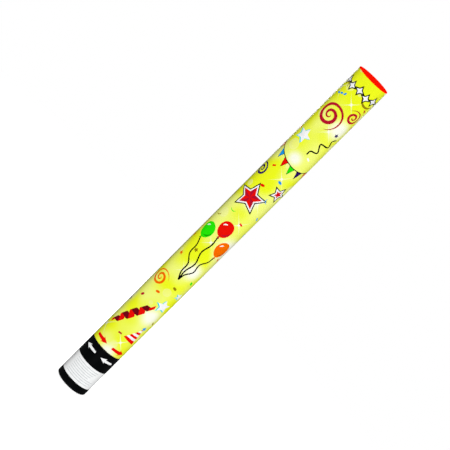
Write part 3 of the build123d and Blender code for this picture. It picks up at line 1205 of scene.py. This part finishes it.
class PaperSkin:
    """The faces of a rolled paper, with their normals and maps.

    The square map holds the print's lower and upper half side by side, and then a slim column for
    each kind of bare face.
    """

    GROUND_SLOT, EDGE_SLOT, FIRST_INK = 0, 1, 2
    NEAR = 5e-3  # how close a point on an edge of the sheet lies to it
    MARGIN = 0.005  # bare rim of the square
    HALF_STEP = 0.475  # from one half of the print to the other
    HALF_WIDTH = 0.465
    HALF_HEIGHT = 0.99
    BOTTOM, TOP, BACK, LAP = 0.955, 0.967, 0.979, 0.991  # middles of the slim columns
    COLUMN_WIDTH = 0.005
    FILL = 0.9  # share of its step up the column that a bare face takes up

    def __init__(self, paper: RolledPaper, flat: list[Vector]) -> None:
        """Rolls up a sheet's points.

        Args:
            paper: the paper.
            flat: its points on the flat sheet.
        """
        self.paper = paper
        self.flat = flat
        self.points = [paper.rolled(spot.x, spot.y, paper.reach(spot.x)) for spot in flat]
        self.faces: list[list[int]] = []
        self.slots: list[int] = []
        self.normals: list[Vector] = []
        self.sheet_places: list[Vector] = []
        self.bake_places: list[Vector] = []

    def add(
        self, face: list[int], slot: int, normals: list[Vector], sheet: list[Vector], bake: list[Vector]
    ) -> None:
        """Adds one face.

        Args:
            face: its corners.
            slot: its material.
            normals: a normal for each corner.
            sheet: each corner's place on the sheet, in metres.
            bake: each corner's place in the square map.
        """
        self.faces.append(face)
        self.slots.append(slot)
        self.normals += normals
        self.sheet_places += sheet
        self.bake_places += bake

    def add_print(self, face: list[int], slot: int) -> None:
        """Adds one face of the printed side.

        Args:
            face: its corners.
            slot: its material.
        """
        paper = self.paper
        spots = [self.flat[corner] for corner in face]
        middle = sum(spots, Vector((0, 0))) / len(spots)
        climbing = 0 < middle.x - paper.climb_start < paper.climb
        slope = (paper.lap_radius - paper.radius) / paper.climb if climbing else 0.0
        half_height = (paper.high - paper.low) / 2
        upper = middle.y > paper.low + half_height
        foot = paper.low + half_height * upper
        left = self.MARGIN + self.HALF_STEP * upper
        bake = [
            Vector((
                left + self.HALF_WIDTH * (spot.x - paper.start) / paper.girth,
                self.MARGIN + self.HALF_HEIGHT * (spot.y - foot) / half_height,
            ))
            for spot in spots
        ]
        normals = [paper.facing(spot.x, slope) for spot in spots]
        self.add(face, slot, normals, [spot * MM for spot in spots], bake)

    def add_plain(
        self, face: list[int], normals: list[Vector], column: float, step: int, steps: int
    ) -> None:
        """Adds one face of bare paper.

        Args:
            face: its corners.
            normals: a normal for each corner.
            column: the middle of its slim column in the square map.
            step: its number up that column.
            steps: how many faces the column holds.
        """
        ring = [polar(0.5, 225 + 360 * corner / len(face)) for corner in range(len(face))]
        bake = [
            Vector((column + self.COLUMN_WIDTH * spot.x, (step + 0.5 + self.FILL * spot.y) / steps))
            for spot in ring
        ]
        self.add(face, self.EDGE_SLOT, normals, bake, bake)

    def rim(self) -> set[int]:
        """The points on the sheet's rim, which are the ends of the edges that only one face has."""
        edges = {(face[n - 1], face[n]) for face in self.faces for n in range(len(face))}
        return {n for edge in edges if edge[::-1] not in edges for n in edge}

    def edge(self, rim: set[int], axis: int, value: float) -> list[int]:
        """The rim's points on one edge, in order along it: axis 0 for a side edge, 1 for an end."""
        found = [n for n in rim if abs(self.flat[n][axis] - value) < self.NEAR]
        return sorted(found, key=lambda n: self.flat[n][1 - axis])

    def close(self) -> None:
        """Adds the cut edges, the lap's step and the side glued to the tube."""
        paper = self.paper
        rim = self.rim()
        low, high = self.edge(rim, 1, paper.low), self.edge(rim, 1, paper.high)
        self.close_lap(self.edge(rim, 0, paper.start), self.edge(rim, 0, paper.end))
        sides = len(low) - 1
        first_inner = len(self.points)
        for ring, up in ((low, paper.low), (high, paper.high)):
            self.points += [paper.rolled(self.flat[n].x, up, paper.inner) for n in ring[:-1]]
        down, above = Vector((0, 0, -1)), Vector((0, 0, 1))
        for side in range(sides):
            after = (side + 1) % sides
            lap_low = [low[0]] if after == 0 else []
            lap_high = [high[0]] if after == 0 else []
            inner_low, inner_high = first_inner + side, first_inner + sides + side
            next_low, next_high = first_inner + after, first_inner + sides + after
            bottom = [low[side], inner_low, next_low, *lap_low, low[side + 1]]
            top = [high[side + 1], *lap_high, next_high, inner_high, high[side]]
            back = [next_low, inner_low, inner_high, next_high]
            here, there = (-paper.facing(self.flat[low[spot]].x) for spot in (side, side + 1))
            self.add_plain(bottom, [down] * len(bottom), self.BOTTOM, side, sides)
            self.add_plain(top, [above] * len(top), self.TOP, side, sides)
            self.add_plain(back, [there, here, here, there], self.BACK, side, sides)

    def close_lap(self, left: list[int], right: list[int]) -> None:
        """Adds the step at the lap, in triangles that climb both side edges together.

        Args:
            left: the points up the sheet's start, which are used up.
            right: the points up its end, which are used up too.
        """
        bearing = self.paper.end / self.paper.radius
        ahead = Vector((cos(bearing), sin(bearing), 0))
        steps = len(left) + len(right) - 2
        for step in range(steps):
            on_left = len(right) == 1 or (
                len(left) > 1 and self.flat[left[1]].y < self.flat[right[1]].y
            )
            climbed = left if on_left else right
            self.add_plain([right[0], left[0], climbed[1]], [ahead] * 3, self.LAP, step, steps)
            climbed.pop(0)

    def mesh(self, finishes: list[Finish]) -> bpy.types.Mesh:
        """Writes the mesh.

        Args:
            finishes: the finishes that the faces' slots number.

        Returns:
            The mesh, with its normals and both maps.
        """
        made = write_mesh(self.paper.name, self.points, self.faces, *finishes)
        made.polygons.foreach_set("material_index", self.slots)
        made.shade_smooth()
        for name, places in ((SHEET_MAP, self.sheet_places), (BAKE_MAP, self.bake_places)):
            layer = made.uv_layers.new(name=name)
            layer.data.foreach_set("uv", [number for place in places for number in place])
        made.normals_split_custom_set(self.normals)
        made.update()
        return made


def write_mesh(
    name: str, points: list[Vector], faces: list[Iterable[int]], *finishes: Finish
) -> bpy.types.Mesh:
    """Writes a mesh.

    Args:
        name: its name.
        points: its points, in metres.
        faces: the corners of each face.
        finishes: its finishes, by slot.

    Returns:
        The mesh.
    """
    made = bpy.data.meshes.new(name)
    made.from_pydata(points, [], faces)
    for finish in finishes:
        made.materials.append(finish.material())
    return made


def place_piece(mesh: bpy.types.Mesh, body: str, node: str) -> bpy.types.Object:
    """Puts a mesh in the scene as a piece.

    Args:
        mesh: the piece's mesh, in place.
        body: the body that it rides on.
        node: the CAD node that it stands for.

    Returns:
        The piece.
    """
    piece = bpy.data.objects.new(mesh.name, mesh)
    bpy.context.scene.collection.objects.link(piece)
    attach(piece, body)
    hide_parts(node)
    log.info("%s: %d faces, rides on %s for %s", piece.name, len(mesh.polygons), body, node)
    return piece


class SubAssembly:
    """Pieces that belong together: some built here, and CAD nodes that only need a finish."""

    finishes: ClassVar[dict[str, Finish]] = {}  # of each CAD node that shows as it is

    def build(self) -> None:
        """Builds the pieces that stand for CAD nodes."""

    def dress(self) -> None:
        """Gives each CAD node its finish."""
        for node, finish in self.finishes.items():
            for slot in frame["nodes"][node].material_slots:
                slot.material = finish.material()
            log.info("%s: %s", node, finish.name)


@dataclass
class Grip(SubAssembly):
    """Card tube with its black paper, the base cap and the swivel bush."""

    finishes: ClassVar[dict[str, Finish]] = {
        "grip_tube": KRAFT_CARD,
        "base_cap": Moulded("black_plastic", "020304", roughness=0.45, shine=0.0, skin=0.06, gate=2.0),
        "swivel_bush": NYLON,
    }
    gloss: Film = Film(weight=0.04, index=1.5, tint="FFFFFF", roughness=0.38)
    arrows: ArrowRing = ArrowRing(Ink.WHITE, up=63.0, across=-16.2, width=8.2, way=Way.LEFT)
    band_low: float = 12.0
    band_high: float = 44.5
    rules: int = 8  # ruled lines on the white band
    rule_width: float = 0.6
    first_rule: float = 1.2  # line spacings from the band's upper edge to its first line
    spare: float = 1.5  # line spacings that the band has beyond its number of lines
    shortest: float = 0.7  # of the ragged lines, as a share of the longest
    panels: int = 3  # columns of ruled lines round the band
    panel_gap: float = 6.0

    def build(self) -> None:
        """Prints and rolls the grip's paper."""
        ground = Print("black_print", "020304", self.gloss)
        paper = RolledPaper("grip_paper", "grip_wrap", "base", "grip_print", ground, rows=6)
        self.draw_band(paper)
        self.arrows.draw(paper)
        paper.build()

    def draw_band(self, paper: RolledPaper) -> None:
        """Draws the white band and its ragged ruled lines.

        Args:
            paper: the grip's paper.
        """
        middle = Vector(((paper.start + paper.end) / 2, (self.band_low + self.band_high) / 2))
        paper.pen.slip(Ink.WHITE, middle, paper.girth, self.band_high - self.band_low)
        pitch = (self.band_high - self.band_low) / (self.rules + self.spare)
        panel = paper.girth / self.panels
        for rule in range(self.rules):
            up = self.band_high - pitch * (rule + self.first_rule)
            for column in range(self.panels):
                spread = (rule * self.panels + column) * GOLDEN % 1
                length = (panel - self.panel_gap) * (self.shortest + (1 - self.shortest) * spread)
                left = paper.start + panel * column + self.panel_gap / 2
                paper.pen.slip(Ink.GREY, Vector((left + length / 2, up)), length, self.rule_width)


@dataclass
class Barrel(SubAssembly):
    """Card tube with its printed yellow paper, and the release collar."""

    finishes: ClassVar[dict[str, Finish]] = {
        "barrel_tube": KRAFT_CARD,
        "release_collar": Moulded("blue_plastic", "27407A", roughness=0.45),
    }
    arrows: ArrowRing = ArrowRing(Ink.RED, up=84.0, across=-13.8, width=10.2, way=Way.RIGHT)
    repeats: int = 2  # of the design round the barrel
    ring_up: float = 577.0
    ring_stars: int = 12
    ring_step: float = 2.4  # how much higher every other star is
    ring_star: float = 5.6  # from a star's middle to a point
    ring_outline: float = 9.0  # and to a point of its black outline
    ring_room: float = 7.0  # what is kept clear round it
    scattered: int = 130
    margin: float = 16.0  # bare of scattered confetti at both ends
    confetti_reach: float = 3.5  # how far a piece of confetti reaches
    confetti_room: float = 6.0  # what is then kept clear round it
    kinds: tuple[Confetti, ...] = (*Confetti, Confetti.SLIP)
    inks: tuple[Ink, ...] = (
        Ink.RED, Ink.ORANGE, Ink.WHITE, Ink.GREEN, Ink.CRIMSON, Ink.BLUE, Ink.GOLD, Ink.PURPLE
    )

    def build(self) -> None:
        """Prints and rolls the barrel's paper."""
        ground = SparklePrint("yellow_print", "F4FC26")
        paper = RolledPaper("barrel_paper", "barrel_wrap", "barrel", "printed_wrap", ground, rows=26)
        for repeat in range(self.repeats):
            self.draw_party(paper.pen, Vector((repeat * paper.girth / self.repeats, 0)))
        self.arrows.draw(paper)
        self.draw_stars(paper)
        self.scatter(paper)
        paper.build()

    def draw_party(self, pen: Pen, aside: Vector) -> None:
        """Draws one repeat of the design.

        Args:
            pen: the sheet's pen.
            aside: where the repeat's middle line is.
        """
        def at(across: float, up: float) -> Vector:
            """A place in this repeat."""
            return aside + Vector((across, up))

        pen.streamer(at(-25, 108), bearing=62, length=62, swing=6.0, waves=4)
        pen.keep_clear(at(-17, 124), 18)
        pen.keep_clear(at(-2, 154), 18)
        pen.hat(at(17, 106), size=28, turn=-12)
        pen.keep_clear(at(19, 120), 15)
        pen.rimmed_star(at(18, 176), size=10.5, turn=12)
        pen.rimmed_star(at(27, 200), size=6.0, turn=-14)
        pen.curl(Ink.ORANGE, at(-17, 204), size=14, turns=2.2, start=20, width=3.2)
        pen.keep_clear(at(-19, 204), 13)
        bunch = (
            (Ink.GREEN, Ink.LEAF, at(-17, 298)),
            (Ink.ORANGE, Ink.AMBER, at(20, 290)),
            (Ink.RED, Ink.CRIMSON, at(2, 316)),
        )
        for ink, shade, middle in bunch:
            pen.balloon((ink, shade), middle, size=13, knot=at(4, 220))
            pen.keep_clear(middle, 14)
        pen.keep_clear(at(3, 244), 15)
        pen.outlined_star(at(-6, 372), size=17, turn=8)
        pen.outlined_star(at(21, 400), size=6.5, turn=-16)
        pen.curl(Ink.PURPLE, at(-27, 410), size=12, turns=-2.1, start=200, width=3.0)
        pen.keep_clear(at(-28, 408), 11)
        flags = (Ink.ORANGE, Ink.BLUE, Ink.RED, Ink.GREEN, Ink.PURPLE, Ink.ORANGE)
        pen.bunting(at(-40, 464), at(40, 450), sag=15, flags=flags)
        for step in range(7):
            pen.keep_clear(at(-36 + 12 * step, 442), 12)
        pen.rimmed_star(at(-15, 484), size=11.5, turn=-10)
        pen.line(at(7, 468), at(27, 508), sway=6.0, waves=2.5, width=2.1)
        pen.keep_clear(at(17, 488), 16)
        pen.curl(Ink.CRIMSON, at(-9, 528), size=21, turns=2.3, start=-70, width=4.6)
        pen.curl(Ink.CRIMSON, at(19, 546), size=12, turns=-2.1, start=150, width=3.2)
        pen.keep_clear(at(-4, 530), 26)
        pen.crescent(Ink.GOLD, at(20, 582), radius=15, start=200, sweep=130)
        pen.crescent(Ink.GOLD, at(-32, 566), radius=12, start=20, sweep=110)
        for step in range(3):
            pen.oval(Ink.BLUE, at(-25 + 5.4 * step, 557 + 2.5 * step), wide=2.6, tall=1.5, turn=30 * step)

    def draw_stars(self, paper: RolledPaper) -> None:
        """Draws the ring of small stars near the muzzle.

        Args:
            paper: the barrel's paper.
        """
        for number in range(self.ring_stars):
            across = paper.start + paper.girth * (number + 0.5) / self.ring_stars
            middle = Vector((across, self.ring_up + self.ring_step * (number % 2)))
            paper.pen.star(Ink.BLACK, middle, self.ring_outline, points=4)
            paper.pen.star(Ink.WHITE, middle, self.ring_star, points=4)
            paper.pen.keep_clear(middle, self.ring_room)

    def scatter(self, paper: RolledPaper) -> None:
        """Scatters small confetti where the sheet is still free.

        Args:
            paper: the barrel's paper.
        """
        for number in range(self.scattered):
            share = (number + 0.5) / self.scattered
            middle = Vector((
                paper.start + paper.girth * (number * GOLDEN % 1),
                paper.low + self.margin + (paper.high - paper.low - 2 * self.margin) * share,
            ))
            if paper.pen.is_clear(middle, self.confetti_reach, paper.girth):
                kind = self.kinds[number % len(self.kinds)]
                ink = self.inks[number % len(self.inks)]
                paper.pen.confetti(kind, ink, middle, turn=360 * (number * GOLDEN**2 % 1))
                paper.pen.keep_clear(middle, self.confetti_room)


@dataclass
class AirValve(SubAssembly):
    """Air cylinder with its bung, the valve head in its mouth, and the spring in its cage."""

    finishes: ClassVar[dict[str, Finish]] = {
        "air_cylinder": Metal("drawn_aluminium", "C2C5C8", 0.34, Grain.ALONG),
        "fill_bung": BLACK_RUBBER,
        "valve_head": Moulded("charcoal_plastic", "202022", roughness=0.48),
        "head_gasket": Rubber("red_rubber", "8E2A1E"),
        "valve_cage": NYLON,
        "retaining_ring": GROUND_STEEL,
    }
    wire: float = 0.5  # radius of the spring's wire
    coil_turns: int = 6
    coil_steps: int = 36  # rings of the wire in a turn
    wire_sides: int = 12

    def build(self) -> None:
        """Makes the spring."""
        low, high = (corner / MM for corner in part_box("plug_spring"))
        points, faces = self.wind(low, high)
        spring_wire = Metal("spring_wire", "9A9CA2", 0.36, Grain.ALONG)
        mesh = write_mesh("spring_coil", points, faces, spring_wire)
        mesh.shade_smooth()
        coil = place_piece(mesh, "base", "plug_spring")
        lift = next(joint for joint in frame["joints"] if joint["name"] == "plug_lift")
        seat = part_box("valve_cage")[0].z
        keep = 1 - lift["range_m"][1] / (seat - low.z * MM)
        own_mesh(coil)

    def wind(self, low: Vector, high: Vector) -> tuple[list[Vector], list[Face]]:
        """Winds the spring's wire.

        Args:
            low: the lowest corner of the spring's box, in millimetres.
            high: the highest corner.

        Returns:
            The wire's points, in metres, and its faces.
        """
        radius = high.x - self.wire
        rise = high.z - low.z - 2 * self.wire
        rings = self.coil_turns * self.coil_steps
        points, faces = [], []
        for ring in range(rings + 1):
            angle = tau * ring / self.coil_steps
            outward = Vector((cos(angle), sin(angle), 0))
            middle = outward * radius + Vector((0, 0, low.z + self.wire + rise * ring / rings))
            for side in range(self.wire_sides):
                bearing = tau * side / self.wire_sides
                lift = Vector((0, 0, self.wire * sin(bearing)))
                points.append((middle + outward * self.wire * cos(bearing) + lift) * MM)
        for ring in range(rings):
            for side in range(self.wire_sides):
                after = (side + 1) % self.wire_sides
                here, ahead = ring * self.wire_sides, (ring + 1) * self.wire_sides
                faces.append((here + side, ahead + side, ahead + after, here + after))
        faces.append(tuple(range(self.wire_sides)))
        faces.append(tuple(reversed(range(rings * self.wire_sides, len(points)))))
        return points, faces


@dataclass
class ReleasePlug(SubAssembly):
    """The plug that closes the cylinder's mouth, with its seal and its cross pin."""

    finishes: ClassVar[dict[str, Finish]] = {
        "release_plug": Moulded("white_plastic", "EDEDE8", roughness=0.42),
        "plug_o_ring": BLACK_RUBBER,
        "cross_pin": GROUND_STEEL,
    }


@dataclass
class Charge(SubAssembly):
    """Two wads under a column of foil slips, laid in bundles that each turn from the one below."""

    finishes: ClassVar[dict[str, Finish]] = {
        "wad_card": ChipBoard("chip_board", "B3A48E"),
        "wad_foam": OpenFoam("grey_foam", "C2C4C8"),
    }
    foils: ClassVar[dict[str, str]] = {"gold": "DCC42C", "silver": "DCE6EC"}
    section: ClassVar[tuple[tuple[int, int], ...]] = ((-1, -1), (1, -1), (1, 1), (-1, 1))  # of a slip
    bundle: float = 3.0  # thickness of one bundle
    bundle_turn: float = 137.5  # degrees between neighbours
    slips: int = 8  # slips in a bundle
    slip_length: float = 40.4
    slip_width: float = 18.9
    slip_thickness: float = 0.08
    curl: float = 0.12  # rise and fall of a slip's ends
    spread: float = 4.0  # degrees that a slip may be turned from its bundle
    shift: float = 0.4  # how far it may lie off the middle
    cuts: int = 6  # faces along a slip

    def build(self) -> None:
        """Fans out the gold and the silver slips."""
        lowest = min(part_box(node)[0].z for node in ("confetti_gold", "confetti_silver")) / MM
        for colour, code in self.foils.items():
            node = f"confetti_{colour}"
            low, high = (corner.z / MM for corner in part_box(node))
            chance = Random(colour)
            points: list[Vector] = []
            faces: list[Face] = []
            for number in range(round((high - low + self.bundle) / (2 * self.bundle))):
                foot = low + 2 * self.bundle * number
                turn = self.bundle_turn * round((foot - lowest) / self.bundle)
                for slip in range(self.slips):
                    level = foot + self.bundle * (slip + 0.5) / self.slips
                    self.lay_slip(points, faces, level, turn, chance)
            mesh = write_mesh(f"{colour}_slips", points, faces, Foil(f"{colour}_leaf", code))
            place_piece(mesh, "charge", node)

    def lay_slip(
        self, points: list[Vector], faces: list[Face], level: float, turn: float, chance: Random
    ) -> None:
        """Lays one slip, a little askew, bowed and twisted.

        Args:
            points: the mesh's points so far.
            faces: its faces so far.
            level: the height of the slip's middle.
            turn: its bundle's bearing, in degrees.
            chance: where its differences come from.
        """
        lean = Quaternion((0, 0, 1), radians(turn + chance.uniform(-self.spread, self.spread)))
        aside = Vector([chance.uniform(-self.shift, self.shift) for _ in range(2)] + [0])
        bow, twist = (chance.uniform(-self.curl, self.curl) / 2 for _ in range(2))
        corners = len(self.section)
        first = len(points)
        last = first + corners * self.cuts
        for step in range(self.cuts + 1):
            along = 2 * step / self.cuts - 1
            for across, face_side in self.section:
                rise = bow * (2 * along**2 - 1) + twist * along * across
                height = level + rise + face_side * self.slip_thickness / 2
                flat = Vector((along * self.slip_length / 2, across * self.slip_width / 2, 0))
                points.append((lean @ (flat + aside) + Vector((0, 0, height))) * MM)
        for here in range(first, last, corners):
            for side in range(corners):
                after = (side + 1) % corners
                faces.append((here + side, here + after, here + corners + after, here + corners + side))
        faces.append(tuple(reversed(range(first, first + corners))))
        faces.append(tuple(range(last, last + corners)))


@dataclass
class MuzzleCap(SubAssembly):
    """The red cap in the barrel's upper end."""

    finishes: ClassVar[dict[str, Finish]] = {
        "muzzle_cap": Moulded("red_plastic", "FF1400", 0.6, shine=0.0, matt=0.85, wear=0.3, gate=2.0)
    }


@dataclass(frozen=True)
class Lamp:
    """One soft square lamp that looks at the popper."""

    name: str
    azimuth: float  # degrees to the right of the front
    elevation: float
    level: float  # how bright it makes a white face that is turned to it
    distance: float = 2.2  # metres
    size: float = 0.8  # metres

    def hang(self, target: Vector) -> None:
        """Hangs the lamp and turns it to its target.

        Args:
            target: a point, in metres.
        """
        light = bpy.data.lights.new(self.name, "AREA")
        light.size = self.size
        light.energy = self.level * (pi * self.distance) ** 2
        lamp = bpy.data.objects.new(self.name, light)
        azimuth, elevation = radians(self.azimuth), radians(self.elevation)
        away = Vector((sin(azimuth) * cos(elevation), -cos(azimuth) * cos(elevation), sin(elevation)))
        lamp.location = target + away * self.distance
        lamp.rotation_mode = "QUATERNION"
        lamp.rotation_quaternion = (-away).to_track_quat("-Z", "Y")
        bpy.context.scene.collection.objects.link(lamp)
        log.info("%s: %.0f W", self.name, light.energy)


@dataclass
class Studio:
    """Plain white floor, soft lamps, pale surroundings and the camera. Its sizes are in metres."""

    floor_radius: float = 40.0
    floor_sides: int = 96
    near: float = 0.35  # inside this the floor shows its own shade
    far: float = 1.1  # past this it is plain white
    floor_colour: str = "E8E8E8"
    floor_bounce: str = "585858"  # the floor as the popper sees it
    floor_lift: float = 0.6  # light that the floor adds to what the camera sees
    ambient: float = 0.03
    lamps: tuple[Lamp, ...] = (
        Lamp("key", 7, 2.5, level=1.09, distance=2.6),
        Lamp("right", 98, 4, level=0.2),
        Lamp("left", -98, 4, level=0.16),
        Lamp("overhead", 0, 89, level=0.74, distance=1.9, size=0.5),
        Lamp("back_right", 150, 4, level=0.34),
        Lamp("back", 204, 4, level=0.8),
    )
    camera_place: tuple[float, float, float] = (0.0, -2.8985, 0.9623)
    camera_aim: tuple[float, float, float] = (-0.00324, 0.0, 0.3147)
    lens: float = 173.8
    roll: float = 45.0  # degrees that the camera leans to its left

    def build(self) -> None:
        """Sets up the floor, the light and the camera."""
        self.lay_floor()
        self.light_world()
        low, high = CAD_BOX
        for lamp in self.lamps:
            lamp.hang((low + high) / 2)
        self.aim_camera()
        bpy.context.scene.view_settings.view_transform = "Standard"

    def seen(self, graph: Graph) -> Wire:
        """1 on rays that show this to the camera, straight, mirrored or through something clear."""
        path = graph.node("LightPath", out="Is Camera Ray")
        return (path + path.other("Is Glossy Ray") + path.other("Is Transmission Ray")).rise(0.0, 1.0)

    def lay_floor(self) -> None:
        """Lays a round floor that fades to plain white away from the popper."""
        rim = [
            Vector((cos(tau * side / self.floor_sides), sin(tau * side / self.floor_sides), 0))
            for side in range(self.floor_sides)
        ]
        mesh = write_mesh("floor", [point * self.floor_radius for point in rim], [range(len(rim))])
        finish = bpy.data.materials.new("white_floor")
        mesh.materials.append(finish)
        graph = Graph(finish)
        place = graph.node("TexCoord", out="Object")
        reach = graph.node("VectorMath", {"operation": "LENGTH"}, {0: place}, "Value")
        lit = graph.node("BsdfDiffuse", {}, {"Color": rgb(self.floor_colour)})
        bounce = graph.node("BsdfDiffuse", {}, {"Color": rgb(self.floor_bounce)})
        lift = graph.node("Emission", {}, {"Strength": self.floor_lift})
        shaded = graph.node("AddShader", {}, {0: lit, 1: lift})
        white = graph.node("Emission", {}, {"Strength": 1.0})
        shown = graph.node("MixShader", {}, {0: reach.rise(self.near, self.far), 1: shaded, 2: white})
        both = graph.node("MixShader", {}, {0: self.seen(graph), 1: bounce, 2: shown})
        graph.node("OutputMaterial", {}, {"Surface": both})
        floor = bpy.data.objects.new("floor", mesh)
        bpy.context.scene.collection.objects.link(floor)

    def light_world(self) -> None:
        """Surrounds the scene with white to look at, and a lower level of light."""
        world = bpy.data.worlds.new("surroundings")
        bpy.context.scene.world = world
        graph = Graph(world)
        strength = self.ambient + (1 - self.ambient) * self.seen(graph)
        white = graph.node("Background", {}, {"Color": rgb("FFFFFF"), "Strength": strength})
        graph.node("OutputWorld", {}, {"Surface": white})

    def aim_camera(self) -> None:
        """Places the camera, aims it and leans it."""
        lens = bpy.data.cameras.new("view")
        lens.lens = self.lens
        lens.clip_end = 2 * self.floor_radius
        camera = bpy.data.objects.new("view", lens)
        camera.location = self.camera_place
        look = Vector(self.camera_aim) - camera.location
        camera.rotation_mode = "QUATERNION"
        lean = Quaternion((0, 0, 1), radians(self.roll))
        camera.rotation_quaternion = look.to_track_quat("-Z", "Y") @ lean
        bpy.context.scene.collection.objects.link(camera)
        bpy.context.scene.camera = camera


def main() -> None:
    """Builds and dresses the sub-assemblies in order, then sets up the studio."""
    logging.basicConfig(level=logging.INFO, format="%(name)s: %(message)s")
    for part in (Grip(), AirValve(), ReleasePlug(), Barrel(), Charge(), MuzzleCap()):
        part.build()
        part.dress()
    Studio().build()


if __name__ == "__main__":
    main()
